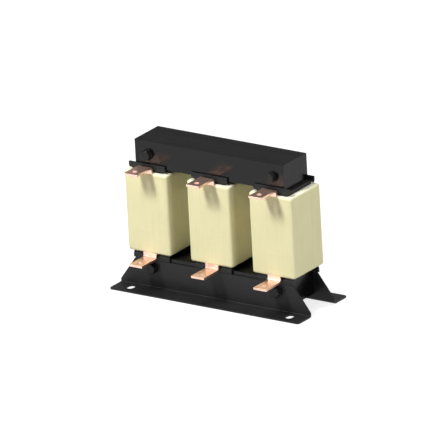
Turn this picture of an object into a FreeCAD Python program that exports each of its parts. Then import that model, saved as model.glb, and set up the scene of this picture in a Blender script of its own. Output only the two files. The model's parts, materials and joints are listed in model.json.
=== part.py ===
import FreeCAD, Part
import math
import os
import Sketcher

# Three-phase line choke: a laminated core of two yokes and three limbs, a wrapped coil on a
# moulded former round each limb, copper lead-out bars, and two folded feet bolted to the core.
# The origin is the middle of the footprint, halfway between the terminals' tips and the rear
# foot's edge, on the floor. X runs along the core, Y to the rear and Z up.

doc = FreeCAD.newDocument("line_choke")

# Driving sizes in millimetres

sizes = [
    ("core_stack", 54, "depth of the lamination stack"),
    ("limb_width", 38, "width of a limb"),
    ("yoke_height", 36, "height of a yoke"),
    ("limb_pitch", 97, "centre to centre of neighbouring limbs"),
    ("window_height", 122, "opening between the yokes"),
    ("gap_sheet", 2, "thickness of an air-gap sheet at a limb's end"),
    ("core_lift", 9, "floor to the underside of the core"),
    ("play", 0.3, "clearance of a loose fit, each side"),
    ("side_wall", 4, "former wall in the window"),
    ("face_wall", 1, "former wall in front of and behind the limb"),
    ("rim_out", 1.2, "how far the rim at a tube's end stands out at the sides"),
    ("rim_height", 2.4, "height of the rim at a tube's end"),
    ("hook_out", 4.7, "how far a hook runs on past the tube's side"),
    ("hook_depth", 2.6, "how far a hook stands out"),
    ("hook_rise", 5, "how far a hook reaches over the yoke"),
    ("hook_gusset", 3.5, "height of the sloped root below a hook"),
    ("coil_gap", 5.5, "clearance between a coil's end and the yoke"),
    ("coil_build", 8.9, "thickness of the winding in the window"),
    ("coil_corner", 4.6, "outer corner radius of a wrapped coil"),
    ("wrap_sheet", 1.3, "thickness of the coil wrap"),
    ("wrap_bevel", 1.8, "bevel round the ends of a wrapped coil"),
    ("bar_width", 20, "width of a lead-out bar"),
    ("bar_sheet", 3, "thickness of a lead-out bar"),
    ("bar_bend", 2.5, "inner bend radius of a lead-out bar"),
    ("bar_gap", 0.7, "clearance between a bar and the former hook"),
    ("bar_root", 30, "length of a bar that lies in the coil"),
    ("bar_rise", 5.9, "coil end to the near face of the terminal plate"),
    ("bar_reach", 33.5, "length of the terminal plate in front of the riser"),
    ("stud_hole", 7, "diameter of the terminal hole"),
    ("stud_inset", 10, "terminal hole to the end of the plate"),
    ("foot_sheet", 2, "thickness of the foot brackets"),
    ("foot_bend", 1, "inner bend radius of the foot brackets"),
    ("foot_overhang", 32, "how far a foot runs on past the core's end"),
    ("foot_width", 28, "depth of the foot in front of the web"),
    ("foot_corner", 4, "radius of the foot's outer corners"),
    ("web_overhang", 7, "how far the web's upper edge runs on past the core's end"),
    ("web_foot", 6, "height of the web's upright lower end"),
    ("web_gap", 0.5, "clearance between the web and the former hooks"),
    ("slot_width", 10, "width of a fixing slot"),
    ("slot_length", 14, "length of a fixing slot"),
    ("slot_inset", 24, "slot centre to the foot's end"),
    ("slot_reach", 12.5, "slot centre to the web's outer face"),
    ("bolt_thread", 8, "diameter of a clamp bolt"),
    ("bolt_inset", 1.2, "bolt axis to the yoke's middle, on the window side"),
    ("bolt_tail", 2.3, "how far a lower bolt stands out of its nut"),
    ("bolt_point", 1.2, "chamfer at a bolt's end"),
    ("head_flats", 13, "width across the flats of heads and nuts"),
    ("head_height", 5.3, "height of a bolt head"),
    ("nut_height", 6.5, "height of a nut"),
    ("hex_bevel", 0.6, "bevel round the outer face of a head or nut"),
    ("washer_disc", 16, "outer diameter of a washer"),
    ("washer_sheet", 1.6, "thickness of a washer"),
    ("sleeve_wall", 1, "wall of the insulating sleeve round a bolt"),
]

sheet = doc.addObject("Spreadsheet::Sheet", "sizes")
for row, (alias, value, note) in enumerate(sizes, start=1):
    sheet.set(f"A{row}", alias)
    sheet.set(f"B{row}", str(value))
    sheet.set(f"C{row}", note)
    sheet.setAlias(f"B{row}", alias)
doc.recompute()

# Places that follow from the sizes, each one an expression on the sheet

core_face = "(sizes.core_stack / 2)"
yoke_length = "(2 * sizes.limb_pitch + sizes.limb_width)"
limb_height = "(sizes.window_height - 2 * sizes.gap_sheet)"
window_floor = "(sizes.core_lift + sizes.yoke_height)"
window_middle = f"({window_floor} + sizes.window_height / 2)"
window_ceiling = f"({window_floor} + sizes.window_height)"
lower_middle = "(sizes.core_lift + sizes.yoke_height / 2)"
upper_middle = f"({window_ceiling} + sizes.yoke_height / 2)"
lower_axis = f"({lower_middle} + sizes.bolt_inset)"
upper_axis = f"({upper_middle} - sizes.bolt_inset)"

tube_bore_side = "(sizes.limb_width / 2 + sizes.play)"
tube_bore_face = f"({core_face} + sizes.play)"
tube_side = f"({tube_bore_side} + sizes.side_wall)"
tube_face = f"({tube_bore_face} + sizes.face_wall)"
hook_face = f"({tube_bore_face} + sizes.hook_depth)"
hook_end = f"({tube_side} + sizes.hook_out)"

riser_back = f"({hook_face} + sizes.bar_gap)"
riser_front = f"({riser_back} + sizes.bar_sheet)"
winding_side = f"({tube_side} + sizes.coil_build)"
coil_end = "(sizes.window_height / 2 - sizes.coil_gap)"
winding_end = f"({coil_end} - sizes.wrap_sheet)"
winding_corner = "(sizes.coil_corner - sizes.wrap_sheet)"
wrap_side = f"({winding_side} + sizes.wrap_sheet)"
wrap_front = f"({riser_front} + sizes.wrap_sheet)"

web_face = f"({core_face} + sizes.foot_sheet)"
web_top = f"({window_floor} - sizes.hook_rise - sizes.web_gap)"
web_end = f"({yoke_length} / 2 + sizes.web_overhang)"
foot_end = f"({yoke_length} / 2 + sizes.foot_overhang)"
foot_edge = f"({web_face} + sizes.foot_width)"
slot_middle = f"({web_face} + sizes.slot_reach)"
core_plane = f"(({riser_front} + sizes.bar_reach - {foot_edge}) / 2)"
sleeve_bore = "(sizes.bolt_thread + 2 * sizes.play)"
sleeve_disc = f"({sleeve_bore} + 2 * sizes.sleeve_wall)"
core_bore = f"({sleeve_disc} + 2 * sizes.play)"
upper_bearing = f"({core_face} + sizes.washer_sheet)"
lower_bearing = f"({web_face} + sizes.washer_sheet)"
bolt_length = f"(2 * {lower_bearing} + sizes.nut_height + sizes.bolt_tail)"

limbs = {"left": "(-1 * sizes.limb_pitch)", "middle": "0", "right": "sizes.limb_pitch"}
nodes = []


# Drawing helpers

def number(expression):
    """The value of an expression on the sheet."""
    return float(sheet.evalExpression(expression))


def new_body(label, across="0", back=core_plane, up="0", turn=None):
    """A body that is a node of its own, placed by expressions, and turned half round an axis."""
    body = doc.addObject("PartDesign::Body", label)
    body.Label = label
    if turn:
        body.Placement.Rotation = FreeCAD.Rotation(turn, 180)
    for axis, expression in (("x", across), ("y", back), ("z", up)):
        body.setExpression(f"Placement.Base.{axis}", expression)
    nodes.append(body)
    return body


def origin_plane(body, role):
    """One of the body's own origin planes, by its role."""
    return next(item for item in body.Origin.OriginFeatures if item.Role == role)


def new_sketch(body, role, name, offset=None):
    """A sketch on an origin plane, or a stated distance in front of it."""
    sketch = body.newObject("Sketcher::SketchObject", name)
    sketch.AttachmentSupport = [(origin_plane(body, role), "")]
    sketch.MapMode = "FlatFace"
    if offset:
        sketch.setExpression("AttachmentOffset.Base.z", offset)
    return sketch


def bind(sketch, kind, *arguments):
    """A dimension whose last argument is an expression on the sheet."""
    value = number(arguments[-1])
    index = sketch.addConstraint(Sketcher.Constraint(kind, *arguments[:-1], value))
    sketch.setExpression(f"Constraints[{index}]", arguments[-1])


def pin(sketch, curve, end, place):
    """Fixes a point of a curve at two expressions, or on an axis where one of them is nought."""
    for kind, expression, axis in zip(("DistanceX", "DistanceY"), place, (-2, -1)):
        if abs(number(expression)) < 1e-9:
            sketch.addConstraint(Sketcher.Constraint("PointOnObject", curve, end, axis))
        else:
            bind(sketch, kind, -1, 1, curve, end, expression)


def join(sketch, first, first_end, second, second_end):
    """Makes two ends of curves one point."""
    sketch.addConstraint(Sketcher.Constraint("Coincident", first, first_end, second, second_end))


def vector(place):
    """A pair of expressions as a point of the sketch."""
    return FreeCAD.Vector(number(place[0]), number(place[1]), 0)


def toward(corner, other, radius):
    """The point a radius away from a square corner, on the side that leads to another corner."""
    runs = [number(there) - number(here) for here, there in zip(corner, other)]
    steps = [0 if abs(run) < 1e-6 else int(math.copysign(1, run)) for run in runs]
    return tuple(f"({here} + {step} * {radius})" if step else here
                 for here, step in zip(corner, steps))


def outline(sketch, corners):
    """A closed outline of (across, up) corners, rounded where a corner has a third value."""
    joints = []
    for index, (across, up, *radius) in enumerate(corners):
        corner = (across, up)
        before, after = corners[index - 1][:2], corners[(index + 1) % len(corners)][:2]
        arrive = toward(corner, before, radius[0]) if radius else corner
        leave = toward(corner, after, radius[0]) if radius else corner
        joints.append((arrive, leave, corner, radius))
    lines = []
    for index, joint in enumerate(joints):
        arrive = joints[(index + 1) % len(joints)][0]
        lines.append(sketch.addGeometry(Part.LineSegment(vector(joint[1]), vector(arrive))))
        pin(sketch, lines[-1], 1, joint[1])
    for index, (arrive, leave, corner, radius) in enumerate(joints):
        if not radius:
            join(sketch, lines[index - 1], 2, lines[index], 1)
            continue
        arc, near, far = quarter_round(sketch, arrive, leave, corner, radius[0])
        pin(sketch, arc, near, arrive)
        join(sketch, lines[index - 1], 2, arc, near)
        join(sketch, arc, far, lines[index], 1)


def quarter_round(sketch, arrive, leave, corner, radius):
    """The arc that rounds a corner, and the numbers of its ends on the way in and out."""
    centre = vector(arrive) + vector(leave) - vector(corner)
    angles = [math.atan2(*(vector(place) - centre)[1::-1]) for place in (arrive, leave)]
    sweep = (angles[1] - angles[0]) % math.tau
    onward = sweep < math.pi
    start = angles[0] if onward else angles[1]
    circle = Part.Circle(centre, FreeCAD.Vector(0, 0, 1), number(radius))
    arc = sketch.addGeometry(Part.ArcOfCircle(circle, start, start + math.pi / 2))
    bind(sketch, "Radius", arc, radius)
    return (arc, 1, 2) if onward else (arc, 2, 1)


def rectangle(sketch, half_across, half_up, corner=None):
    """A rectangle about the sketch's origin."""
    ends = ((-1, -1), (1, -1), (1, 1), (-1, 1))
    rounding = (corner,) if corner else ()
    outline(sketch, [(f"({a} * {half_across})", f"({b} * {half_up})") + rounding for a, b in ends])


def circle(sketch, diameter, across="0", up="0"):
    """A circle about a place."""
    round_curve = Part.Circle(vector((across, up)), FreeCAD.Vector(0, 0, 1), number(diameter) / 2)
    curve = sketch.addGeometry(round_curve)
    pin(sketch, curve, 3, (across, up))
    bind(sketch, "Diameter", curve, diameter)


def hexagon(sketch, flats):
    """A hexagon about the sketch's origin, turned so that no corner lies on an axis."""
    corner = f"{flats} / sqrt(3)"
    turns = [10 + 60 * side for side in range(6)]
    outline(sketch, [(f"({corner} * cos({turn} deg))", f"({corner} * sin({turn} deg))")
                     for turn in turns])


def slot(sketch, across, up, width, length):
    """A slot along the sketch's second axis: two half rounds and two straight sides."""
    straight = f"({length} / 2 - {width} / 2)"
    normal = FreeCAD.Vector(0, 0, 1)
    ends = []
    for side, start in ((1, 0), (-1, math.pi)):
        centre = (across, f"({up} + {side} * {straight})")
        round_end = Part.Circle(vector(centre), normal, number(width) / 2)
        arc = sketch.addGeometry(Part.ArcOfCircle(round_end, start, start + math.pi))
        pin(sketch, arc, 3, centre)
        bind(sketch, "Radius", arc, f"{width} / 2")
        ends.append(arc)
    for first, second, side in ((ends[0], ends[1], -1), (ends[1], ends[0], 1)):
        foot = (f"({across} + {side} * {width} / 2)", f"({up} - {side} * {straight})")
        head = (foot[0], f"({up} + {side} * {straight})")
        line = sketch.addGeometry(Part.LineSegment(vector(foot), vector(head)))
        sketch.addConstraint(Sketcher.Constraint("Tangent", first, 2, line, 1))
        sketch.addConstraint(Sketcher.Constraint("Tangent", line, 2, second, 1))


def add_feature(body, kind, name, sketch, length=None, both_ways=False, reverse=False):
    """A pad or a pocket of a sketch. Without a length it goes right through."""
    feature = body.newObject(f"PartDesign::{kind}", name)
    feature.Profile = sketch
    if both_ways:
        feature.SideType = "Symmetric"
    feature.Reversed = reverse
    if length:
        feature.setExpression("Length", length)
    else:
        feature.Type = "ThroughAll"
    sketch.Visibility = False
    return feature


def turn_about(body, kind, name, sketch, axis="H_Axis"):
    """A revolved pad or groove about one of the sketch's axes."""
    feature = body.newObject(f"PartDesign::{kind}", name)
    feature.Profile = sketch
    feature.ReferenceAxis = (sketch, [axis])
    feature.Angle = 360
    return feature


def repeat_along(body, name, features, sketch, spacing, count, axis="H_Axis"):
    """Copies of features in a row along a sketch axis, each a spacing from the last."""
    pattern = body.newObject("PartDesign::LinearPattern", name)
    pattern.Originals = features
    pattern.Direction = (sketch, [axis])
    pattern.setExpression("Length", f"{count - 1} * {spacing}")
    pattern.Occurrences = count
    body.Tip = pattern


def mirror_over(body, name, features, role):
    """Copies of features on the other side of an origin plane."""
    mirrored = body.newObject("PartDesign::Mirrored", name)
    mirrored.Originals = features
    mirrored.MirrorPlane = (origin_plane(body, role), [""])
    body.Tip = mirrored
    return mirrored


def dress(body, kind, name, amount, wanted):
    """A fillet or chamfer of the straight edges that a test picks from the body so far."""
    doc.recompute()
    base = body.Tip
    straight = [(f"Edge{index}", [vertex.Point for vertex in edge.Vertexes])
                for index, edge in enumerate(base.Shape.Edges, start=1)
                if edge.Curve.TypeId == "Part::GeomLine"]
    feature = body.newObject(f"PartDesign::{kind}", name)
    feature.Base = (base, [edge for edge, ends in straight if wanted(*ends)])
    feature.setExpression("Radius" if kind == "Fillet" else "Size", amount)
    body.Tip = feature


def upright_at(depth):
    """A test for an upright edge at a depth."""
    place = number(depth)
    return lambda start, end: (abs(start.y - place) < 1e-4
                               and (end - start).cross(FreeCAD.Vector(0, 0, 1)).Length < 1e-6)


def lying_at(depth):
    """A test for an edge that lies in the plane at a depth."""
    place = number(depth)
    return lambda start, end: abs(start.y - place) < 1e-4 and abs(end.y - place) < 1e-4


def end_outline(height, across, front):
    """A test for an edge on the outline of a coil's end, at a height from the coil's middle."""
    height, across, front = number(height), number(across), number(front)
    return lambda start, end: (max(abs(abs(start.z) - height), abs(start.z - end.z)) < 1e-4
                               and (min(abs(start.x), abs(end.x)) > across - 1e-4
                                    or min(abs(start.y), abs(end.y)) > front - 1e-4))


# Laminated core

def yoke(label, height_at, hole_at):
    """A stack of straight strips with a hole for a clamp bolt over each outer limb."""
    body = new_body(label, up=height_at)
    face = new_sketch(body, "XZ_Plane", "strip")
    rectangle(face, f"{yoke_length} / 2", "sizes.yoke_height / 2")
    for limb in ("left", "right"):
        circle(face, core_bore, limbs[limb], hole_at)
    add_feature(body, "Pad", "stack", face, "sizes.core_stack", both_ways=True)


def limb_stack(label, place):
    """A stack of straight strips between the air-gap sheets."""
    body = new_body(label, across=place, up=window_middle)
    face = new_sketch(body, "XZ_Plane", "strip")
    rectangle(face, "sizes.limb_width / 2", f"{limb_height} / 2")
    add_feature(body, "Pad", "stack", face, "sizes.core_stack", both_ways=True)


def gap_sheets(label, height_at):
    """The three sheets that hold the air gap at one end of the limbs."""
    body = new_body(label, across=limbs["left"], up=height_at)
    face = new_sketch(body, "XY_Plane", "limb_end")
    rectangle(face, "sizes.limb_width / 2", core_face)
    gap = add_feature(body, "Pad", "gap", face, "sizes.gap_sheet", both_ways=True)
    repeat_along(body, "limb_row", [gap], face, "sizes.limb_pitch", 3)


# Coils

def former(label, place):
    """A moulded tube round a limb, with end rims and a hook over each yoke at front and rear."""
    body = new_body(label, across=place, up=window_middle)
    section = new_sketch(body, "XY_Plane", "tube_section")
    rectangle(section, tube_side, tube_face)
    rectangle(section, tube_bore_side, tube_bore_face)
    add_feature(body, "Pad", "tube", section, "sizes.window_height - 2 * sizes.play", both_ways=True)

    rim = new_sketch(body, "XY_Plane", "rim_section",
                     offset="(sizes.window_height / 2 - sizes.play - sizes.rim_height)")
    rectangle(rim, f"({tube_side} + sizes.rim_out)", tube_face)
    rectangle(rim, tube_bore_side, tube_bore_face)
    upper_rim = add_feature(body, "Pad", "upper_rim", rim, "sizes.rim_height")
    mirror_over(body, "lower_rim", [upper_rim], "XY_Plane")

    profile = new_sketch(body, "YZ_Plane", "hook_profile")
    edge = "(sizes.window_height / 2)"
    for side in (-1, 1):
        for end in (-1, 1):
            root = f"({end} * ({edge} - sizes.hook_gusset))"
            step = f"({end} * {edge})"
            crest = f"({end} * ({edge} + sizes.hook_rise))"
            outline(profile, [
                (f"({side} * {tube_bore_face})", root),
                (f"({side} * {tube_face})", root),
                (f"({side} * {hook_face})", step),
                (f"({side} * {hook_face})", crest),
                (f"({side} * {tube_bore_face})", crest)])
    add_feature(body, "Pad", "hooks", profile, f"2 * {hook_end}", both_ways=True)


def winding(label, place):
    """The copper winding, let in at the front of each end for a lead-out bar."""
    body = new_body(label, across=place, up=window_middle)
    section = new_sketch(body, "XY_Plane", "turns_section")
    rectangle(section, winding_side, riser_front, winding_corner)
    rectangle(section, tube_side, tube_face)
    add_feature(body, "Pad", "turns", section, f"2 * {winding_end}", both_ways=True)

    seat = new_sketch(body, "XZ_Plane", "bar_seats", offset=riser_front)
    half = "(sizes.bar_width / 2 + sizes.play)"
    for end in (-1, 1):
        low = f"({end} * ({winding_end} - sizes.bar_root - sizes.play))"
        high = f"({end} * {coil_end})"
        outline(seat, [(f"(-1 * {half})", low), (half, low), (half, high), (f"(-1 * {half})", high)])
    add_feature(body, "Pocket", "seats", seat, "sizes.bar_sheet")


def wrap(label, place):
    """The insulating wrap round a winding, closed over its two ends."""
    body = new_body(label, across=place, up=window_middle)
    section = new_sketch(body, "XY_Plane", "wrap_section")
    rectangle(section, wrap_side, wrap_front, "sizes.coil_corner")
    rectangle(section, winding_side, riser_front, winding_corner)
    add_feature(body, "Pad", "side", section, f"2 * {coil_end}", both_ways=True)

    end = new_sketch(body, "XY_Plane", "end_section", offset=winding_end)
    rectangle(end, wrap_side, wrap_front, "sizes.coil_corner")
    rectangle(end, tube_side, tube_face)
    lid = add_feature(body, "Pad", "end", end, "sizes.wrap_sheet")
    mirror_over(body, "other_end", [lid], "XY_Plane")
    dress(body, "Chamfer", "end_bevels", "sizes.wrap_bevel",
          end_outline(coil_end, wrap_side, wrap_front))

    slit = new_sketch(body, "XY_Plane", "bar_slit", offset=winding_end)
    half = "(sizes.bar_width / 2)"
    near, far = f"(-1 * {riser_front})", f"(-1 * {riser_back})"
    outline(slit, [(f"(-1 * {half})", near), (half, near), (half, far), (f"(-1 * {half})", far)])
    opening = add_feature(body, "Pocket", "slit", slit, "sizes.wrap_sheet", reverse=True)
    mirror_over(body, "other_slit", [opening], "XY_Plane")


def lead_out_bar(label, place, turn=None):
    """A flat copper bar that rises out of the coil and is bent forward into a terminal plate."""
    body = new_body(label, across=place, up=window_middle, turn=turn)
    side = new_sketch(body, "YZ_Plane", "bar_side")
    root = f"({winding_end} - sizes.bar_root)"
    under = f"({coil_end} + sizes.bar_rise)"
    top = f"({under} + sizes.bar_sheet)"
    back, front = f"(-1 * {riser_back})", f"(-1 * {riser_front})"
    tip = f"(-1 * ({riser_front} + sizes.bar_reach))"
    outline(side, [
        (front, root), (front, under, "sizes.bar_bend"), (tip, under), (tip, top),
        (back, top, "(sizes.bar_bend + sizes.bar_sheet)"), (back, root)])
    add_feature(body, "Pad", "bar", side, "sizes.bar_width", both_ways=True)

    plate = new_sketch(body, "XY_Plane", "stud_hole")
    hole_at = f"({tip} + sizes.stud_inset)"
    circle(plate, "sizes.stud_hole", up=hole_at)
    add_feature(body, "Pocket", "hole", plate, both_ways=True)


# Feet

def foot_bracket(label, turn=None):
    """A folded sheet: a web bolted to the lower yoke, flared down to a slotted foot."""
    body = new_body(label, turn=turn)
    bent = new_sketch(body, "YZ_Plane", "bent_section")
    inner, outer = f"(-1 * {core_face})", f"(-1 * {web_face})"
    edge = f"(-1 * {foot_edge})"
    outline(bent, [
        (inner, web_top), (inner, "0", "(sizes.foot_bend + sizes.foot_sheet)"), (edge, "0"),
        (edge, "sizes.foot_sheet"), (outer, "sizes.foot_sheet", "sizes.foot_bend"),
        (outer, web_top)])
    add_feature(body, "Pad", "sheet", bent, f"2 * {foot_end}", both_ways=True)

    flare = new_sketch(body, "XZ_Plane", "flared_ends")
    clear = f"({web_top} + sizes.foot_sheet)"
    for side in (-1, 1):
        upper, lower = f"({side} * {web_end})", f"({side} * {foot_end})"
        beyond = f"({side} * ({foot_end} + sizes.foot_sheet))"
        outline(flare, [(upper, web_top), (upper, clear), (beyond, clear),
                        (beyond, "sizes.web_foot"), (lower, "sizes.web_foot")])
    add_feature(body, "Pocket", "flare", flare, both_ways=True)

    holes = new_sketch(body, "XZ_Plane", "bolt_holes")
    for limb in ("left", "right"):
        circle(holes, sleeve_bore, limbs[limb], lower_axis)
    add_feature(body, "Pocket", "bolt_holes_cut", holes, both_ways=True)

    slots = new_sketch(body, "XY_Plane", "fixing_slots")
    for side in (-1, 1):
        slot(slots, f"({side} * ({foot_end} - sizes.slot_inset))", f"(-1 * {slot_middle})",
             "sizes.slot_width", "sizes.slot_length")
    add_feature(body, "Pocket", "slots_cut", slots, both_ways=True)
    dress(body, "Fillet", "foot_corners", "sizes.foot_corner", upright_at(edge))


# Clamping

def clamp_bolts(label, height_at, bearing):
    """Two hexagon bolts, one through each end of a yoke."""
    body = new_body(label, across=limbs["left"], back=f"({core_plane} - {bearing})",
                    up=height_at)
    face = new_sketch(body, "XZ_Plane", "head_face")
    hexagon(face, "sizes.head_flats")
    head = add_feature(body, "Pad", "head", face, "sizes.head_height")
    shank = new_sketch(body, "YZ_Plane", "shank_profile")
    outline(shank, [
        ("(-1 * sizes.head_height / 2)", "0"),
        ("(-1 * sizes.head_height / 2)", "sizes.bolt_thread / 2"),
        (f"({bolt_length} - sizes.bolt_point)", "sizes.bolt_thread / 2"),
        (bolt_length, "(sizes.bolt_thread / 2 - sizes.bolt_point)"),
        (bolt_length, "0")])
    rod = turn_about(body, "Revolution", "shank", shank)
    repeat_along(body, "pair", [head, rod], face, "2 * sizes.limb_pitch", 2)
    dress(body, "Chamfer", "head_bevel", "sizes.hex_bevel", lying_at("(-1 * sizes.head_height)"))


def nuts(label, height_at, bearing):
    """Two hexagon nuts on the rear ends of the bolts."""
    body = new_body(label, across=limbs["left"], back=f"({core_plane} + {bearing})",
                    up=height_at)
    face = new_sketch(body, "XZ_Plane", "nut_face")
    hexagon(face, "sizes.head_flats")
    circle(face, "sizes.bolt_thread")
    block = add_feature(body, "Pad", "nut", face, "sizes.nut_height", reverse=True)
    repeat_along(body, "pair", [block], face, "2 * sizes.limb_pitch", 2)
    dress(body, "Chamfer", "nut_bevel", "sizes.hex_bevel", lying_at("sizes.nut_height"))


def washers(label, height_at, seat):
    """Four washers: one under each head and one under each nut."""
    body = new_body(label, up=height_at)
    face = new_sketch(body, "XZ_Plane", "washer_faces", offset=seat)
    for limb in ("left", "right"):
        circle(face, "sizes.washer_disc", limbs[limb])
        circle(face, sleeve_bore, limbs[limb])
    front = add_feature(body, "Pad", "front_pair", face, "sizes.washer_sheet")
    mirror_over(body, "rear_pair", [front], "XZ_Plane")


def sleeves(label, height_at):
    """Two insulating sleeves that line the bolt holes."""
    body = new_body(label, up=height_at)
    face = new_sketch(body, "XZ_Plane", "sleeve_rings")
    for limb in ("left", "right"):
        circle(face, sleeve_disc, limbs[limb])
        circle(face, sleeve_bore, limbs[limb])
    add_feature(body, "Pad", "tubes", face, "sizes.core_stack", both_ways=True)


# The choke, from the core outwards

yoke("top_yoke", upper_middle, "(-1 * sizes.bolt_inset)")
yoke("bottom_yoke", lower_middle, "sizes.bolt_inset")
for name, middle in (("upper_gap_sheets", f"({window_ceiling} - sizes.gap_sheet / 2)"),
                     ("lower_gap_sheets", f"({window_floor} + sizes.gap_sheet / 2)")):
    gap_sheets(name, middle)
for side, place in limbs.items():
    limb_stack(f"{side}_limb", place)
    former(f"{side}_former", place)
    winding(f"{side}_winding", place)
    wrap(f"{side}_coil_wrap", place)
    lead_out_bar(f"{side}_top_terminal", place)
    lead_out_bar(f"{side}_bottom_terminal", place, turn=FreeCAD.Vector(0, 1, 0))

foot_bracket("front_foot")
foot_bracket("rear_foot", turn=FreeCAD.Vector(0, 0, 1))

for row, axis, face, bearing in (("upper", upper_axis, core_face, upper_bearing),
                                 ("lower", lower_axis, web_face, lower_bearing)):
    sleeves(f"{row}_bolt_sleeves", axis)
    washers(f"{row}_washers", axis, face)
    clamp_bolts(f"{row}_clamp_bolts", axis, bearing)
    nuts(f"{row}_nuts", axis, bearing)

doc.recompute()

# Checks and files

for item in doc.Objects:
    if "Invalid" in item.State or "Error" in item.State:
        raise RuntimeError(f"{item.Label} didn't recompute: {item.State}")
for body in nodes:
    if body.Shape.isNull() or not body.Shape.isValid() or not body.Shape.Solids:
        raise RuntimeError(f"{body.Label} has no valid solid")

os.makedirs("parts", exist_ok=True)
for body in nodes:
    body.Shape.exportStep(f"parts/{body.Label}.step")
print(f"{len(nodes)} nodes written")
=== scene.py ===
import json
import math
import bmesh
import bpy
import numpy as np
from mathutils import Matrix, Vector


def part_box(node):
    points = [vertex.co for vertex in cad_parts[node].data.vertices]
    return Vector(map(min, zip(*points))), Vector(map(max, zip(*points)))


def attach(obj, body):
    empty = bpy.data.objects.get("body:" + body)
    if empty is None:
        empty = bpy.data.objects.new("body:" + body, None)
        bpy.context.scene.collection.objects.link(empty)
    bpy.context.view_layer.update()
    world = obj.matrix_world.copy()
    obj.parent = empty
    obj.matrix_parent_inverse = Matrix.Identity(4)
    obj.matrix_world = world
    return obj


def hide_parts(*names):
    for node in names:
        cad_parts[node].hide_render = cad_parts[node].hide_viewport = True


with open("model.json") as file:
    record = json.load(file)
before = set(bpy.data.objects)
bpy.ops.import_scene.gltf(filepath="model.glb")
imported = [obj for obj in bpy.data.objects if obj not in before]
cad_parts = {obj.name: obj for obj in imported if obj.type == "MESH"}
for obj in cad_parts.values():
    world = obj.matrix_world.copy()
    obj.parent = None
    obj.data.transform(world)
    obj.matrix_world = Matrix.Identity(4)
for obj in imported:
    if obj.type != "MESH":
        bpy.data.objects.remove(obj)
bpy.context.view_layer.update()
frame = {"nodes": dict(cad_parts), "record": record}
sides = ("left", "middle", "right")
rows = ("upper", "lower")
mm = 0.001
print("frame:", len(frame["nodes"]), "nodes")


# Material nodes

# A node with its settings and inputs, where an input is a value or another node's socket.
def addNode(tree, kind, inputs=None, **settings):
    node = tree.nodes.new(kind)
    for name, value in settings.items():
        setattr(node, name, value)
    for name, value in (inputs or {}).items():
        if isinstance(value, bpy.types.NodeSocket):
            tree.links.new(value, node.inputs[name])
        else:
            node.inputs[name].default_value = value
    return node


# A Principled material. Its even values are the same all over it, so they go on the shader itself.
def newMaterial(name, even):
    material = bpy.data.materials.new(name)
    material.use_nodes = True
    shader = material.node_tree.nodes["Principled BSDF"]
    for socket, value in even.items():
        shader.inputs[socket].default_value = value
    return material, material.node_tree, shader


# Object coordinates in metres, stretched along the axes.
def objectPoint(tree, stretch=(1, 1, 1)):
    place = addNode(tree, "ShaderNodeTexCoord")
    return addNode(tree, "ShaderNodeMapping",
                   {"Vector": place.outputs["Object"], "Scale": stretch}).outputs["Vector"]


# A noise between nought and one, whose features are about one over the scale wide, in metres.
def noise(tree, point, scale, detail, roughness=0.5):
    node = addNode(tree, "ShaderNodeTexNoise",
                   {"Vector": point, "Scale": scale, "Detail": detail, "Roughness": roughness})
    return node.outputs["Fac"]


# A Math node's result from one value or more.
def worked(tree, operation, *values):
    return addNode(tree, "ShaderNodeMath", dict(enumerate(values)), operation=operation).outputs[0]


# A value carried from one range to another.
def carried(tree, value, fromLow, fromHigh, low, high):
    node = addNode(tree, "ShaderNodeMapRange",
                   {"Value": value, "From Min": fromLow, "From Max": fromHigh,
                    "To Min": low, "To Max": high})
    return node.outputs["Result"]


# Roughness that follows a noise, whose values lie mostly between 0.3 and 0.7.
def addRoughness(tree, shader, value, low, high):
    tree.links.new(carried(tree, value, 0.3, 0.7, low, high), shader.inputs["Roughness"])


# Two colours mixed by a value.
def mixed(tree, factor, first, second):
    node = addNode(tree, "ShaderNodeMix", data_type="RGBA")
    colours = [socket for socket in node.inputs if socket.type == "RGBA"]
    tree.links.new(factor, node.inputs["Factor"])
    for socket, colour in zip(colours, (first, second)):
        if isinstance(colour, bpy.types.NodeSocket):
            tree.links.new(colour, socket)
        else:
            socket.default_value = (*colour, 1)
    return next(socket for socket in node.outputs if socket.type == "RGBA")


# Bumps laid over each other, each a height field with its depth in metres.
def addBumps(tree, shader, *layers):
    normal = None
    for height, depth in layers:
        inputs = {"Height": height, "Strength": 1.0, "Distance": depth}
        if normal:
            inputs["Normal"] = normal
        normal = addNode(tree, "ShaderNodeBump", inputs).outputs["Normal"]
    tree.links.new(normal, shader.inputs["Normal"])


# Black varnish on the sheet stack: cloudy gloss, a fine peel, and a brownish tint where it is thin.
coreLook = {"colour": (0.002, 0.0019, 0.0019), "thin": (0.0042, 0.0038, 0.0036),
            "thinBand": (0.42, 0.72), "roughness": (0.16, 0.26), "even": {"IOR": 1.36}, "cloud": 24,
            "streak": (6, 60, 60), "streakDepth": 0.00012, "peel": 420, "peelDepth": 0.00003}

def coreVarnish():
    look = coreLook
    material, tree, shader = newMaterial("coreVarnish", look["even"])
    point = objectPoint(tree)
    cloud = noise(tree, point, look["cloud"], detail=5, roughness=0.62)
    streak = noise(tree, objectPoint(tree, look["streak"]), 1.0, detail=2)
    tint = carried(tree, cloud, *look["thinBand"], 0, 1)
    tree.links.new(mixed(tree, tint, look["colour"], look["thin"]), shader.inputs["Base Color"])
    addRoughness(tree, shader, cloud, *look["roughness"])
    peel = noise(tree, point, look["peel"], detail=2)
    addBumps(tree, shader, (streak, look["streakDepth"]), (peel, look["peelDepth"]))
    return material


# Powder coat on the folded feet: even black with a close orange peel and faint rubbed patches.
footLook = {"colour": (0.014, 0.014, 0.0145), "rubbed": (0.022, 0.022, 0.023),
            "rubbedBand": (0.5, 0.78), "roughness": (0.34, 0.48), "even": {"IOR": 1.34},
            "peel": 650, "peelDepth": 0.00008, "patch": 16}

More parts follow.
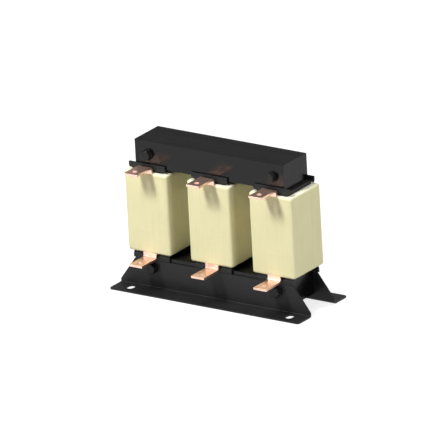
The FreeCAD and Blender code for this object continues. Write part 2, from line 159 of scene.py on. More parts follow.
def footCoat():
    look = footLook
    material, tree, shader = newMaterial("footCoat", look["even"])
    point = objectPoint(tree)
    patch = noise(tree, point, look["patch"], detail=4, roughness=0.6)
    rubbed = carried(tree, patch, *look["rubbedBand"], 0, 1)
    tree.links.new(mixed(tree, rubbed, look["colour"], look["rubbed"]), shader.inputs["Base Color"])
    addRoughness(tree, shader, patch, *look["roughness"])
    addBumps(tree, shader, (noise(tree, point, look["peel"], detail=1), look["peelDepth"]))
    return material


# Moulded plastic of the formers: a fine spark-eroded grain, a little paler where it is scuffed.
formerLook = {"colour": (0.013, 0.0135, 0.014), "scuffed": (0.03, 0.031, 0.032),
              "scuffBand": (0.55, 0.8), "roughness": (0.42, 0.58), "even": {"IOR": 1.34},
              "grain": 1500, "grainDepth": 0.00004, "scuff": 70}

def formerPlastic():
    look = formerLook
    material, tree, shader = newMaterial("formerPlastic", look["even"])
    point = objectPoint(tree)
    scuff = noise(tree, point, look["scuff"], detail=5, roughness=0.7)
    scuffed = carried(tree, scuff, *look["scuffBand"], 0, 1)
    tree.links.new(mixed(tree, scuffed, look["colour"], look["scuffed"]), shader.inputs["Base Color"])
    addRoughness(tree, shader, scuff, *look["roughness"])
    addBumps(tree, shader, (noise(tree, point, look["grain"], detail=2), look["grainDepth"]))
    return material


# Cream insulating paper: long fibres up the wrap, soft clouds of resin, small flecks, and a painted
# sheen on its ends.
paperLook = {"colour": (0.845, 0.795, 0.475), "resin": (0.79, 0.74, 0.435), "resinBand": (0.2, 0.42),
             "fleck": (0.60, 0.53, 0.29), "fleckBand": (0.72, 0.8), "fleckShare": 0.45,
             "ends": (0.95, 0.93, 0.72), "paintedSheenBand": (0.0542, 0.0552), "roughness": (0.5, 0.68),
             "even": {"IOR": 1.42, "Sheen Weight": 0.1, "Sheen Roughness": 0.5}, "cloud": 26,
             "fibre": (380, 380, 16), "fibreDepth": 0.00003, "fleckScale": 900, "fleckDepth": 0.00002}
coilMiddle = (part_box("middle_coil_wrap")[0].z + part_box("middle_coil_wrap")[1].z) / 2

def coilPaper():
    look = paperLook
    material, tree, shader = newMaterial("coilPaper", look["even"])
    point = objectPoint(tree)
    cloud = noise(tree, point, look["cloud"], detail=5, roughness=0.6)
    fibre = noise(tree, objectPoint(tree, look["fibre"]), 1.0, detail=4, roughness=0.65)
    both = worked(tree, "MULTIPLY", cloud, fibre)
    tone = mixed(tree, carried(tree, both, *look["resinBand"], 0, 1), look["colour"], look["resin"])
    fleck = noise(tree, point, look["fleckScale"], detail=1)
    flecked = carried(tree, fleck, *look["fleckBand"], 0, look["fleckShare"])
    tone = mixed(tree, flecked, tone, look["fleck"])
    height = addNode(tree, "ShaderNodeSeparateXYZ", {0: point}).outputs["Z"]
    fromMiddle = worked(tree, "ABSOLUTE", worked(tree, "SUBTRACT", height, coilMiddle))
    # Both ends of the wrap are painted paler here, a painted sheen.
    tone = mixed(tree, carried(tree, fromMiddle, *look["paintedSheenBand"], 0, 1), tone, look["ends"])
    tree.links.new(tone, shader.inputs["Base Color"])
    addRoughness(tree, shader, cloud, *look["roughness"])
    addBumps(tree, shader, (fibre, look["fibreDepth"]), (fleck, look["fleckDepth"]))
    return material


# Bare rolled copper: drawing lines along the bar, and darker patches of oxide.
copperLook = {"colour": (0.98, 0.67, 0.55), "oxide": (0.55, 0.29, 0.245), "oxideBand": (0.5, 0.8),
              "oxideShare": 0.8, "roughness": (0.31, 0.43), "even": {"Metallic": 1.0},
              "lines": (2500, 60, 60), "lineDepth": 0.000012, "patch": 85, "patchDepth": 0.00003}

def bareCopper():
    look = copperLook
    material, tree, shader = newMaterial("bareCopper", look["even"])
    point = objectPoint(tree)
    patch = noise(tree, point, look["patch"], detail=5, roughness=0.62)
    lines = noise(tree, objectPoint(tree, look["lines"]), 1.0, detail=2)
    oxidised = carried(tree, patch, *look["oxideBand"], 0, look["oxideShare"])
    tree.links.new(mixed(tree, oxidised, look["colour"], look["oxide"]), shader.inputs["Base Color"])
    addRoughness(tree, shader, patch, *look["roughness"])
    addBumps(tree, shader, (lines, look["lineDepth"]), (patch, look["patchDepth"]))
    return material


# Enamelled copper of the windings: turns of flat wire as ridges across the height, with painted shade
# in the grooves between them.
windingLook = {"groove": (0.2, 0.07, 0.03), "crest": (0.55, 0.22, 0.09), "turns": 90, "uneven": 0.4,
               "depth": 0.0003, "even": {"Roughness": 0.35, "Metallic": 0.7, "Coat Weight": 0.4}}

def enamelledCopper():
    look = windingLook
    material, tree, shader = newMaterial("enamelledCopper", look["even"])
    inputs = {"Vector": objectPoint(tree), "Scale": look["turns"], "Distortion": look["uneven"]}
    turns = addNode(tree, "ShaderNodeTexWave", inputs, bands_direction="Z").outputs["Fac"]
    # The grooves between turns are painted darker: painted shade.
    tree.links.new(mixed(tree, turns, look["groove"], look["crest"]), shader.inputs["Base Color"])
    addBumps(tree, shader, (turns, look["depth"]))
    return material


# Black zinc on bolts, nuts and washers: dark metal that shines through where it is rubbed.
steelLook = {"colour": (0.018, 0.018, 0.019), "rubbed": (0.075, 0.073, 0.07),
             "rubbedBand": (0.58, 0.78), "roughness": (0.3, 0.46),
             "even": {"Metallic": 0.6, "IOR": 1.4}, "patch": 260, "patchDepth": 0.00003}

def blackSteel():
    look = steelLook
    material, tree, shader = newMaterial("blackSteel", look["even"])
    point = objectPoint(tree)
    patch = noise(tree, point, look["patch"], detail=5, roughness=0.66)
    rubbed = carried(tree, patch, *look["rubbedBand"], 0, 1)
    tree.links.new(mixed(tree, rubbed, look["colour"], look["rubbed"]), shader.inputs["Base Color"])
    addRoughness(tree, shader, patch, *look["roughness"])
    addBumps(tree, shader, (patch, look["patchDepth"]))
    return material


# Pressed fibre of the bolt sleeves and board of the air-gap sheets: a speckle and a felted surface.
fibreLook = {"sleeve": ((0.06, 0.04, 0.025), (0.12, 0.085, 0.05)),
             "board": ((0.055, 0.035, 0.02), (0.1, 0.07, 0.045)), "speckBand": (0.45, 0.7),
             "roughness": (0.65, 0.85), "felt": 700, "feltDepth": 0.00008}

def pressedFibre(name, colour, speck):
    look = fibreLook
    material, tree, shader = newMaterial(name, {})
    point = objectPoint(tree)
    felt = noise(tree, point, look["felt"], detail=4, roughness=0.7)
    speckled = carried(tree, felt, *look["speckBand"], 0, 1)
    tree.links.new(mixed(tree, speckled, colour, speck), shader.inputs["Base Color"])
    addRoughness(tree, shader, felt, *look["roughness"])
    addBumps(tree, shader, (felt, look["feltDepth"]))
    return material


finishes = {
    "core_paint": coreVarnish(),
    "foot_paint": footCoat(),
    "former_plastic": formerPlastic(),
    "coil_wrap": coilPaper(),
    "bar_copper": bareCopper(),
    "winding_copper": enamelledCopper(),
    "bolt_steel": blackSteel(),
    "fibre": pressedFibre("sleeveFibre", *fibreLook["sleeve"]),
    "gap_card": pressedFibre("gapBoard", *fibreLook["board"]),
}
for entry in frame["record"]["subparts"]:
    for holder in frame["nodes"][entry["node"]].material_slots:
        holder.material = finishes[entry["material_slot"]]
print("finishes:", len(finishes))


# Mesh making

weldReach = 2e-6  # points nearer than this in metres are one
leastEdge = 1e-7  # edges shorter than this in metres go
hair = 1e-6  # a share this small counts as none

# The quads between neighbouring rows of a grid. A closed grid joins its last column to its first.
def gridQuads(rowCount, columnCount, closed, first):
    row = np.arange(rowCount - 1)[:, None]
    column = np.arange(columnCount if closed else columnCount - 1)[None, :]
    after = (column + 1) % columnCount
    quads = np.stack([row * columnCount + column, row * columnCount + after,
                      (row + 1) * columnCount + after, (row + 1) * columnCount + column], axis=-1)
    return quads.reshape(-1, 4) + first


# One piece from grids of points: what meets is welded and every face turns outwards.
def pieceFrom(name, grids, slotName, replaced, smoothAngle):
    points, quads, count = [], [], 0
    for grid, closed in grids:
        points.append(grid.reshape(-1, 3))
        quads.append(gridQuads(*grid.shape[:2], closed, count))
        count += len(points[-1])
    mesh = bpy.data.meshes.new(name)
    mesh.from_pydata(np.concatenate(points).tolist(), [], np.concatenate(quads).tolist())
    finished(name, mesh, slotName, replaced, smoothAngle)


# Welds and shades a mesh, gives it its finish and hides the nodes that it stands for.
def finished(name, mesh, slotName, replaced, smoothAngle):
    work = bmesh.new()
    work.from_mesh(mesh)
    bmesh.ops.remove_doubles(work, verts=work.verts, dist=weldReach)
    bmesh.ops.dissolve_degenerate(work, edges=work.edges, dist=leastEdge)
    bmesh.ops.recalc_face_normals(work, faces=work.faces)
    work.to_mesh(mesh)
    work.free()
    mesh.shade_smooth()
    mesh.set_sharp_from_angle(angle=math.radians(smoothAngle))
    mesh.materials.clear()
    mesh.materials.append(finishes[slotName])
    piece = bpy.data.objects.new(name, mesh)
    bpy.context.scene.collection.objects.link(piece)
    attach(piece, "root")
    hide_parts(*replaced)
    return piece


# Widths of the bevels and their steps. A bend counts as flat or smooth up to so many degrees, and
# as an edge past so many.
softEdges = {"former": 0.45 * mm, "foot": 0.4 * mm, "bar": 0.3 * mm,
             "steps": 2, "flat": 0.5, "smooth": 30, "edge": 40}

# A node's own shape with its flat facets joined and its edges softened by a bevel.
def softened(name, node, slotName, width):
    mesh = frame["nodes"][node].data.copy()
    mesh.name = name
    work = bmesh.new()
    work.from_mesh(mesh)
    bmesh.ops.remove_doubles(work, verts=work.verts, dist=weldReach)
    bmesh.ops.dissolve_limit(work, angle_limit=math.radians(softEdges["flat"]), verts=work.verts,
                             edges=work.edges)
    work.to_mesh(mesh)
    work.free()
    piece = finished(name, mesh, slotName, [node], softEdges["smooth"])
    bevel = piece.modifiers.new("edges", "BEVEL")
    bevel.width = width
    bevel.segments = softEdges["steps"]
    bevel.limit_method = "ANGLE"
    bevel.angle_limit = math.radians(softEdges["edge"])
    bevel.use_clamp_overlap = True
    bevel.harden_normals = True


# A rounded rectangle from its right side anticlockwise, and the outward direction at each point:
# each corner is a quarter circle about a point one radius in, and each side has even steps
# between two corners. The half sizes and the radius may be arrays, one value to a row.
def roundedLoop(halfAcross, halfUp, radius, cornerSteps, sideSteps):
    halfAcross, halfUp, radius = (np.atleast_1d(np.asarray(value, float))[:, None]
                                  for value in (halfAcross, halfUp, radius))
    quarter = np.radians(np.linspace(0, 90, cornerSteps + 1))
    loop, outward = [], []
    for corner in range(4):
        angle = quarter + corner * math.pi / 2
        signAcross = 1 if corner in (0, 3) else -1
        signUp = 1 if corner in (0, 1) else -1
        loop.append(np.stack([signAcross * (halfAcross - radius) + radius * np.cos(angle),
                              signUp * (halfUp - radius) + radius * np.sin(angle)], axis=-1))
        outward.append(np.stack([np.cos(angle), np.sin(angle)], axis=-1))
    share = np.linspace(0, 1, sideSteps + 1)[1:-1, None]
    points, normals = [], []
    for corner in range(4):
        start, end = loop[corner][:, -1:], loop[(corner + 1) % 4][:, :1]
        points += [loop[corner], start + (end - start) * share]
        normals += [outward[corner], np.repeat(outward[corner][-1:], sideSteps - 1, axis=0)]
    return np.concatenate(points, axis=1), np.concatenate(normals)


# Where a row's bolts stand along the yoke, and their height, from the washers, which are round.
def boltAxes(row):
    low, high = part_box(f"{row}_washers")
    radius = (high.z - low.z) / 2
    return [low.x + radius, high.x - radius], (low.z + high.z) / 2


# Laminated yokes

# The gap is the share of a sheet that its two bevels take, the rings of points lie at shares of the
# way from a bolt hole to the edge of the face, and the step between its rays is in degrees.
stackLook = {"sheet": 0.5 * mm, "gap": 0.16, "gapDepth": 0.16 * mm, "uneven": 0.14 * mm,
             "edge": 0.25 * mm, "holePlay": 0.3 * mm, "rings": (0, 0.04, 0.3, 1), "rayStep": 8,
             "smooth": 40}

# The bolt holes are a clearance wider than the sleeves.
def holeRadius(row):
    low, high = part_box(f"{row}_bolt_sleeves")
    return (high.z - low.z) / 2 + stackLook["holePlay"]


# The stack is one rectangle carried along the depth. Its half sizes fall by the gap's depth between
# two sheets and by a sheet's own small amount on it, and by the edge's softness at both ends. The
# end faces run on rays from each bolt hole to the edge of their half of the face, and the rays that
# end on the outline give the rectangle its points.
def laminatedYoke(node, row, seed):
    low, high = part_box(node)
    look, random = stackLook, np.random.default_rng(seed)
    count = round((high.y - low.y) / look["sheet"])
    middle, half = (low + high) / 2, (high - low) / 2
    across, up = boltAxes(row)
    hole = holeRadius(row)
    edge = np.array([half.x - look["edge"], half.z - look["edge"]])

    grids, outline = [], []
    share = np.array(look["rings"])[:, None]
    even = np.radians(np.arange(-180, 180, look["rayStep"]) + look["rayStep"] / 2)
    for place in across:
        outer = math.copysign(1, place - middle.x)
        inner = abs(place - middle.x)
        above, below = edge[1] + middle.z - up, edge[1] - middle.z + up
        corners = np.arctan2([above, above, -below, -below],
                             [edge[0] - inner, -inner, -inner, edge[0] - inner])
        angle = np.sort(np.concatenate([even, corners]))
        reachAlong = np.where(np.cos(angle) > 0, edge[0] - inner, inner)
        reachUp = np.where(np.sin(angle) > 0, above, below)
        ray = np.minimum(reachAlong / np.maximum(abs(np.cos(angle)), hair),
                         reachUp / np.maximum(abs(np.sin(angle)), hair))
        distance = hole + (ray - hole) * share
        faceAcross, faceUp = place + outer * distance * np.cos(angle), up + distance * np.sin(angle)
        for depth in (low.y, high.y):
            grids.append((np.dstack([faceAcross, np.full_like(distance, depth), faceUp]), True))
        bore = np.broadcast_to(np.linspace(low.y, high.y, 3)[:, None], (3, len(angle)))
        grids.append((np.dstack([np.broadcast_to(faceAcross[0], bore.shape), bore,
                                 np.broadcast_to(faceUp[0], bore.shape)]), True))
        ends = np.stack([faceAcross[-1] - middle.x, faceUp[-1] - middle.z], axis=-1) / edge
        outline.append(ends[(abs(ends[:, 0]) > hair) | (outer > 0)])
    outline = np.concatenate(outline)
    outline = outline[np.abs(outline).max(axis=1) > 1 - hair]
    outline = outline[np.argsort(np.arctan2(outline[:, 1], outline[:, 0]))]

    profile = np.array([0, look["gap"] / 2, 1 - look["gap"] / 2, 1])
    depth = low.y + (np.arange(count)[:, None] + profile).ravel() * (high.y - low.y) / count
    depth[[1, -2]] = low.y + look["edge"], high.y - look["edge"]
    own = np.repeat(random.uniform(0, look["uneven"], (count, 2)), 4, axis=0)
    sunk = np.tile([look["gapDepth"], 0, 0, look["gapDepth"]], count)
    sunk[[0, -1]] = look["edge"]
    own[[0, -1]] = 0
    wall = np.dstack([middle.x + outline[:, 0] * (half.x - own[:, :1] - sunk[:, None]),
                      np.broadcast_to(depth[:, None], (len(depth), len(outline))),
                      middle.z + outline[:, 1] * (half.z - own[:, 1:] - sunk[:, None])])
    grids.append((wall, True))
    pieceFrom(f"laminated_{node}", grids, "core_paint", [node], look["smooth"])


laminatedYoke("top_yoke", "upper", 3)
laminatedYoke("bottom_yoke", "lower", 4)
print("yokes done")


# Wrapped coils

wrapLook = {"cornerRadius": 4.6 * mm, "endRound": 2.9 * mm, "innerRadius": 0.2 * mm,
            "sag": 0.28 * mm, "wave": 0.09 * mm, "waves": 5, "ripple": 0.12 * mm,
            "barRelief": 0.22 * mm, "besideBar": 1.6 * mm, "belowBar": 2.2 * mm,
            "lap": 0.22 * mm, "lapAt": 18 * mm, "lapFade": 12 * mm, "faceReach": 1.5 * mm,
            "cornerSteps": 8, "sideSteps": 48, "heightSteps": 64, "bendSteps": 6, "lidSteps": 6,
            "smooth": 50}

# The former's tube: its play round the limb, and its walls at the sides and at front and rear
tubeSizes = {"play": 0.3 * mm, "sideWall": 4 * mm, "faceWall": 1 * mm}

# Half the tube's width, half its depth, and its middle from front to rear.
def tubeHalves(side):
    low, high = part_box(f"{side}_limb")
    return ((high.x - low.x) / 2 + tubeSizes["play"] + tubeSizes["sideWall"],
            (high.y - low.y) / 2 + tubeSizes["play"] + tubeSizes["faceWall"], (high.y + low.y) / 2)


# The wrap is one rounded rectangle carried up a profile: out over the lower end from the former's
# tube, round the end's edge, up the side and back in over the upper end. Each point then sinks by
# a sag towards the corners and ends, by slow waves, and by less where a bar lies under the paper.
def coilWrap(side, seed):
    look, random = wrapLook, np.random.default_rng(seed)
    low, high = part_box(f"{side}_coil_wrap")
    tubeAcross, tubeDeep, tubeMiddle = tubeHalves(side)
    middle, half = (low + high) / 2, (high - low) / 2
    barLow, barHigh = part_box(f"{side}_top_terminal")

    bend = np.radians(np.linspace(0, 90, look["bendSteps"]))
    climb = np.linspace(-1, 1, look["heightSteps"])[1:-1]
    lid = np.linspace(0, 1, look["lidSteps"], endpoint=False)
    inset = look["endRound"]
    curve, fall = inset * (1 - np.sin(bend)), inset * (1 - np.cos(bend))
    # out grows from nought at the tube to one at the end's edge, and shrink is how far that edge's
    # round draws the sides in
    out = np.concatenate([lid, np.ones(len(climb) + 2 * len(bend)), lid[::-1]])
    shrink = np.concatenate([np.full(len(lid), inset), curve, np.zeros(len(climb)), curve[::-1],
                             np.full(len(lid), inset)])
    rise = np.concatenate([np.full(len(lid), -half.z), -half.z + fall, climb * (half.z - inset),
                           half.z - fall[::-1], np.full(len(lid), half.z)])
    halfAcross = tubeAcross + out * (half.x - shrink - tubeAcross)
    halfDeep = tubeDeep + out * (half.y - shrink - tubeDeep)
    radius = look["innerRadius"] + out * (look["cornerRadius"] - shrink - look["innerRadius"])
    loop, outward = roundedLoop(halfAcross, halfDeep, radius, look["cornerSteps"], look["sideSteps"])
    drift = (1 - out) * (tubeMiddle - middle.y)  # the tube's middle lies behind the wrap's

    turn = np.linspace(0, 2 * math.pi, loop.shape[1], endpoint=False)[None, :]
    height = (rise / half.z)[:, None]
    along = np.abs(loop * (1 - np.abs(outward))).max(axis=-1)
    sideShare = along / np.where(np.abs(outward[:, 0]) > 0.7, half.y, half.x)[None, :]
    sag = look["sag"] * (0.6 * sideShare**4 + 0.4 * height**6)
    phases = random.uniform(0, 2 * math.pi, (look["waves"], 2))
    waves = sum(np.sin((4 + 3 * order) * turn + phases[order, 0]
                       + 0.9 * np.sin(2.3 * height * (order + 1) + phases[order, 1]))
                for order in range(look["waves"])) / look["waves"]
    sunk = sag + look["wave"] * (1 + waves)
    alongFront = loop[..., 1] < look["faceReach"] - half.y
    barHalf = (barHigh.x - barLow.x) / 2
    barRoot = 1 - (high.z - barLow.z) / half.z
    besideBar = np.clip((np.abs(loop[..., 0]) - barHalf) / look["besideBar"], 0, 1)
    belowBar = np.clip((barRoot - np.abs(height)) * half.z / look["belowBar"], 0, 1)
    relief = np.maximum(besideBar, belowBar)
    sunk = sunk + look["barRelief"] * np.where(alongFront, relief, 1)
    # the paper's own end lies down the rear face as a step that fades away behind it
    alongRear = loop[..., 1] > half.y - look["faceReach"]
    behind = look["lapAt"] - loop[..., 0]
    fading = np.exp(-behind / look["lapFade"])
    sunk = sunk + np.where(alongRear & (behind > 0), look["lap"] * fading, 0)
    sunk = sunk * (out == 1)[:, None]

    across = loop[..., 0] - outward[:, 0] * sunk + middle.x
    back = loop[..., 1] - outward[:, 1] * sunk + middle.y + drift[:, None]
    # the two ends aren't quite flat
    ripple = np.sin(7 * turn + phases[0, 0]) * np.sin(3 * turn + phases[1, 0])
    dent = look["ripple"] * (1 + ripple) / 2 * (shrink > 0)[:, None]
    up = middle.z + rise[:, None] - np.sign(rise)[:, None] * dent
    surface = np.dstack([across, back, np.broadcast_to(up, across.shape)])
    pieceFrom(f"{side}_paper_wrap", [(surface, True)], "coil_wrap", [f"{side}_coil_wrap"],
              look["smooth"])


for seed, side in enumerate(sides):
    coilWrap(side, seed + 20)
print("coil wraps done")


# Moulded, folded and rolled pieces

for side in sides:
    softened(f"{side}_moulded_former", f"{side}_former", "former_plastic", softEdges["former"])
    for end in ("top", "bottom"):
        softened(f"{side}_{end}_copper_bar", f"{side}_{end}_terminal", "bar_copper", softEdges["bar"])
for place in ("front", "rear"):
    softened(f"{place}_folded_foot", f"{place}_foot", "foot_paint", softEdges["foot"])
print("formers, bars and feet done")


# Fasteners

# The circles that cut a head's hexagon are radii, and its turns and angles are degrees.
boltLook = {"flats": 13 * mm, "corner": 7.38 * mm, "faceCircle": 6.1 * mm, "chamfer": 30,
            "washerFace": 6.25 * mm, "washerStep": 0.35 * mm, "underHead": 3.9 * mm,
            "inHead": 1 * mm, "dishRadii": (5.85 * mm, 3.4 * mm, 1.5 * mm, 0),
            "dishDepths": (0, 0.08 * mm, 0.1 * mm, 0.1 * mm), "turns": (10, 37, 22, 51),
            "coneSteps": 7, "smooth": 35}
# The flank is how steeply the thread rises, the root how wide its bottom is, and the tip what share
# of the pointed end is flat.
threadLook = {"major": 3.97 * mm, "minor": 3.35 * mm, "pitch": 1.25 * mm, "length": 22 * mm,
              "shoulder": 1.5 * mm, "runIn": 2 * mm, "flank": 2.6, "root": 0.15, "point": 1.1 * mm,
              "tip": 0.6, "stepsPerPitch": 8}
nutLook = {"bore": 4 * mm, "mouth": 4.55 * mm, "turns": (26, 3, 44, 15), "coneSteps": 6,
           "smooth": 35}
washerLook = {"hole": 4.3 * mm, "sheet": 1.6 * mm, "soft": 0.2 * mm, "smooth": 40}
roundSteps = {"hexagon": 96, "rod": 48, "washer": 72}  # points once round

# The angles of a piece's points, once round, from its own turn in degrees.
def angles(steps, turn=0):
    return np.radians(np.linspace(0, 360, steps, endpoint=False))[None, :] + math.radians(turn)


# The distance from a hexagon's middle to its outline, at each angle.
def hexReach(angle, turn):
    within = np.mod(angle - math.radians(turn), math.pi / 3) - math.pi / 6
    return boltLook["flats"] / 2 / np.cos(within)


# The circles of a chamfered face, from the one on its flat out to the corners, and their depths.
def chamfer(steps):
    reach = np.linspace(0, boltLook["corner"] - boltLook["faceCircle"], steps)
    return boltLook["faceCircle"] + reach, reach * math.tan(math.radians(boltLook["chamfer"]))


# Points round an axis that runs along the depth, from distances and depths.
def aroundAxis(place, up, angle, distance, depth):
    angle, distance, depth = np.broadcast_arrays(angle, distance, depth)
    return np.dstack([place + distance * np.cos(angle), depth, up + distance * np.sin(angle)])


# A head is a hexagon cut back to a cone at its outer face, which is slightly dished, and to a round
# step at its inner one: each row is the lesser of the hexagon's reach and the row's own circle.
def headGrid(place, up, bearing, height, turn):
    look = boltLook
    angle = angles(roundSteps["hexagon"], turn)
    cone, fall = chamfer(look["coneSteps"])
    under = [look["underHead"], look["washerFace"], look["washerFace"], look["corner"]]
    circles = np.concatenate([under, cone[::-1], look["dishRadii"]])
    levels = np.concatenate([[0, 0, look["washerStep"], look["washerStep"]], height - fall[::-1],
                             height - np.array(look["dishDepths"])])
    reach = np.minimum(hexReach(angle, turn), circles[:, None])
    return aroundAxis(place, up, angle, reach, bearing - levels[:, None])


# A rod is a circle whose distance rises and falls once a pitch and slides one pitch a turn, so
# that it winds as a thread. It is smooth before the thread and pointed at its end.
def rodGrid(place, up, start, end):
    look = threadLook
    threadFrom = end - look["length"]
    steps = int(look["length"] / look["pitch"] * look["stepsPerPitch"])
    thread = np.linspace(threadFrom, end, steps)
    depth = np.concatenate([[start, threadFrom - look["shoulder"]], thread])[:, None]
    angle = angles(roundSteps["rod"])
    phase = np.mod((depth - threadFrom) / look["pitch"] - angle / (2 * math.pi), 1)
    crest = np.clip(np.abs(phase - 0.5) * look["flank"] - look["root"], 0, 1)
    runIn = np.clip((depth - threadFrom) / look["runIn"], 0, 1)
    cut = (look["major"] - look["minor"]) * (1 - crest) * runIn
    point = look["major"] - np.clip(depth - (end - look["point"]), 0, None)
    reach = np.minimum(look["major"] - cut, point)
    tip = np.array([[look["tip"]], [0]]) * (look["major"] - look["point"])
    depth = np.concatenate([depth, [[end], [end]]])
    reach = np.concatenate([reach, np.broadcast_to(tip, (2, angle.size))])
    return aroundAxis(place, up, angle, reach, depth)


# A nut is a ring: its outside is a head's with a cone at both faces, and its bore is countersunk.
def nutGrid(place, up, bearing, height, turn):
    angle = angles(roundSteps["hexagon"], turn)
    cone, fall = chamfer(nutLook["coneSteps"])
    bore, mouth = nutLook["bore"], nutLook["mouth"]
    sink = mouth - bore
    circles = np.concatenate([[bore, mouth], cone, cone[::-1], [mouth, bore, bore]])
    levels = np.concatenate([[sink, 0], fall, height - fall[::-1], [height, height - sink, sink]])
    reach = np.minimum(hexReach(angle, turn), circles[:, None])
    return aroundAxis(place, up, angle, reach, bearing + levels[:, None])


# A washer is a flat ring with softened edges, stamped with a slight roll at its rim.
def washerGrid(place, up, outer, near, far):
    inner, soft = washerLook["hole"], washerLook["soft"]
    circles = np.array([inner + soft, outer - 2 * soft, outer - 0.3 * soft, outer, outer,
                        outer - soft, inner + soft, inner, inner, inner + soft])[:, None]
    levels = np.array([near, near, near + 0.3 * soft, near + 1.4 * soft, far - soft,
                       far, far, far - soft, near + soft, near])[:, None]
    return aroundAxis(place, up, angles(roundSteps["washer"]), circles, levels)


for number, row in enumerate(rows):
    across, up = boltAxes(row)
    low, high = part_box(f"{row}_clamp_bolts")
    washerLow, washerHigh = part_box(f"{row}_washers")
    nutLow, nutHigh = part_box(f"{row}_nuts")
    outer = (washerHigh.z - washerLow.z) / 2
    bolts, nuts, discs = [], [], []
    for end, place in enumerate(across):
        turn, nutTurn = (look["turns"][2 * number + end] for look in (boltLook, nutLook))
        bolts += [(headGrid(place, up, washerLow.y, washerLow.y - low.y, turn), True),
                  (rodGrid(place, up, washerLow.y - boltLook["inHead"], high.y), True)]
        nuts.append((nutGrid(place, up, nutLow.y, nutHigh.y - nutLow.y, nutTurn), True))
        for near, inwards in ((washerLow.y, 1), (washerHigh.y, -1)):
            far = near + inwards * washerLook["sheet"]
            discs.append((washerGrid(place, up, outer, near, far), True))
    pieceFrom(f"{row}_hex_bolts", bolts, "bolt_steel", [f"{row}_clamp_bolts"], boltLook["smooth"])
    pieceFrom(f"{row}_hex_nuts", nuts, "bolt_steel", [f"{row}_nuts"], nutLook["smooth"])
    pieceFrom(f"{row}_plain_washers", discs, "bolt_steel", [f"{row}_washers"], washerLook["smooth"])
print("fasteners done")


# Studio

studio = {"world": 0.12, "background": 1.0, "ceiling": 0.24, "ceilingBand": (0.01, 0.1),
          "floorColour": (0.3, 0.3, 0.3), "floorGrain": 0.99, "floorHalf": 6.0, "floorDrop": 0.2 * mm,
          "floorLift": 0.79, "lampAim": (0, 0, 0.1), "lampDistance": 2.0}

# The way each lamp's light goes, its size in metres, and its power in watts
lamps = {"key": ((0.29, 1.0, -1.1), (0.34, 0.62), 34.5),
         "glint": ((0.54, 0.77, -0.34), (0.3, 0.3), 3.6),
         "top": ((0.0, 0.06, -1.0), (0.5, 0.5), 14),
         "fill": ((-1.0, 0.1, -0.2), (1.2, 1.2), 18),
         "back": ((0.12, -1.0, -0.5), (0.6, 0.6), 8)}

# One strength for what is seen, straight or in gloss or through glass, and another for what lights.
def rayStrength(tree, seen, rest):
    path = addNode(tree, "ShaderNodeLightPath").outputs
    gloss = worked(tree, "MAXIMUM", path["Is Glossy Ray"], path["Is Transmission Ray"])
    return carried(tree, worked(tree, "MAXIMUM", gloss, path["Is Camera Ray"]), 0, 1, rest, seen)


# The world is a white cove that fades, by the height of the direction, into a dim ceiling.
def paintWorld():
    world = bpy.context.scene.world or bpy.data.worlds.new("studio")
    bpy.context.scene.world = world
    world.use_nodes = True
    tree = world.node_tree
    tree.nodes.clear()
    towards = addNode(tree, "ShaderNodeTexCoord").outputs["Generated"]
    height = addNode(tree, "ShaderNodeSeparateXYZ", {0: towards}).outputs["Z"]
    cove = carried(tree, height, *studio["ceilingBand"], studio["background"], studio["ceiling"])
    strength = rayStrength(tree, cove, studio["world"])
    sky = addNode(tree, "ShaderNodeBackground", {"Color": (1, 1, 1, 1), "Strength": strength})
    addNode(tree, "ShaderNodeOutputWorld", {"Surface": sky.outputs[0]})


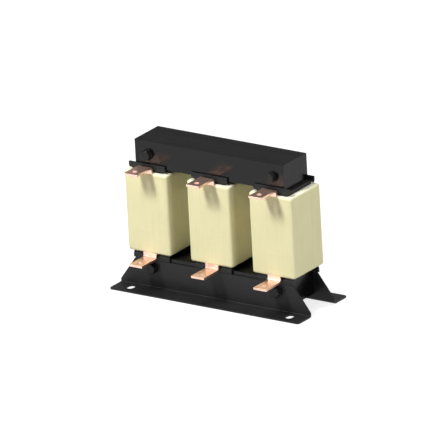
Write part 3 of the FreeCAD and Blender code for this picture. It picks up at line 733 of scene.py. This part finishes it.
# The floor takes the shadow, and glows where it is seen, so that it runs on into the cove.
def layFloor():
    half, colour = studio["floorHalf"], studio["floorColour"]
    mesh = bpy.data.meshes.new("floor")
    mesh.from_pydata([(-half, -half, 0), (half, -half, 0), (half, half, 0), (-half, half, 0)], [],
                     [(0, 1, 2, 3)])
    even = {"Roughness": 0.9, "Emission Color": (1, 1, 1, 1)}
    material, tree, shader = newMaterial("floorPaper", even)
    grain = noise(tree, objectPoint(tree), 300, detail=3)
    darker = tuple(part * studio["floorGrain"] for part in colour)
    tree.links.new(mixed(tree, grain, colour, darker), shader.inputs["Base Color"])
    tree.links.new(rayStrength(tree, studio["floorLift"], 0), shader.inputs["Emission Strength"])
    mesh.materials.append(material)
    floor = bpy.data.objects.new("floor", mesh)
    floor.location.z = -studio["floorDrop"]
    bpy.context.scene.collection.objects.link(floor)


# A lamp hangs back along its light from the point that all of them aim at.
def hangLamp(name, towards, size, power):
    towards = Vector(towards).normalized()
    light = bpy.data.lights.new(name, "AREA")
    light.shape = "ELLIPSE"
    light.size, light.size_y = size
    light.energy = power
    lamp = bpy.data.objects.new(name, light)
    lamp.location = Vector(studio["lampAim"]) - towards * studio["lampDistance"]
    lamp.rotation_euler = towards.to_track_quat("-Z", "Y").to_euler()
    bpy.context.scene.collection.objects.link(lamp)


paintWorld()
layFloor()
for name, settings in lamps.items():
    hangLamp(name, *settings)
print("studio done")


# Camera: a long lens from the front right, a little above, turned slightly about its own line

shot = {"azimuth": 35.12, "elevation": 20.07, "roll": 3.08, "lens": 1500, "sensor": 36,
        "width": 0.5748, "aim": (-0.0207, 0.0292, 0.0866), "clip": (1, 100)}

azimuth, elevation, roll = (math.radians(shot[name]) for name in ("azimuth", "elevation", "roll"))
back = Vector((math.sin(azimuth) * math.cos(elevation), -math.cos(azimuth) * math.cos(elevation),
               math.sin(elevation)))
level = Vector((math.cos(azimuth), math.sin(azimuth), 0))
upright = back.cross(level)
right = level * math.cos(roll) - upright * math.sin(roll)
top = upright * math.cos(roll) + level * math.sin(roll)
lens = bpy.data.cameras.new("camera")
lens.lens = shot["lens"]
lens.sensor_width = shot["sensor"]
camera = bpy.data.objects.new("camera", lens)
turned = Matrix((right, top, back)).transposed()
distance = shot["width"] * shot["lens"] / shot["sensor"]
camera.matrix_world = Matrix.Translation(Vector(shot["aim"]) + back * distance) @ turned.to_4x4()
lens.clip_start, lens.clip_end = shot["clip"]
bpy.context.scene.collection.objects.link(camera)
bpy.context.scene.camera = camera
bpy.context.scene.view_settings.view_transform = "Standard"
print("camera", round(distance, 3), "m away")
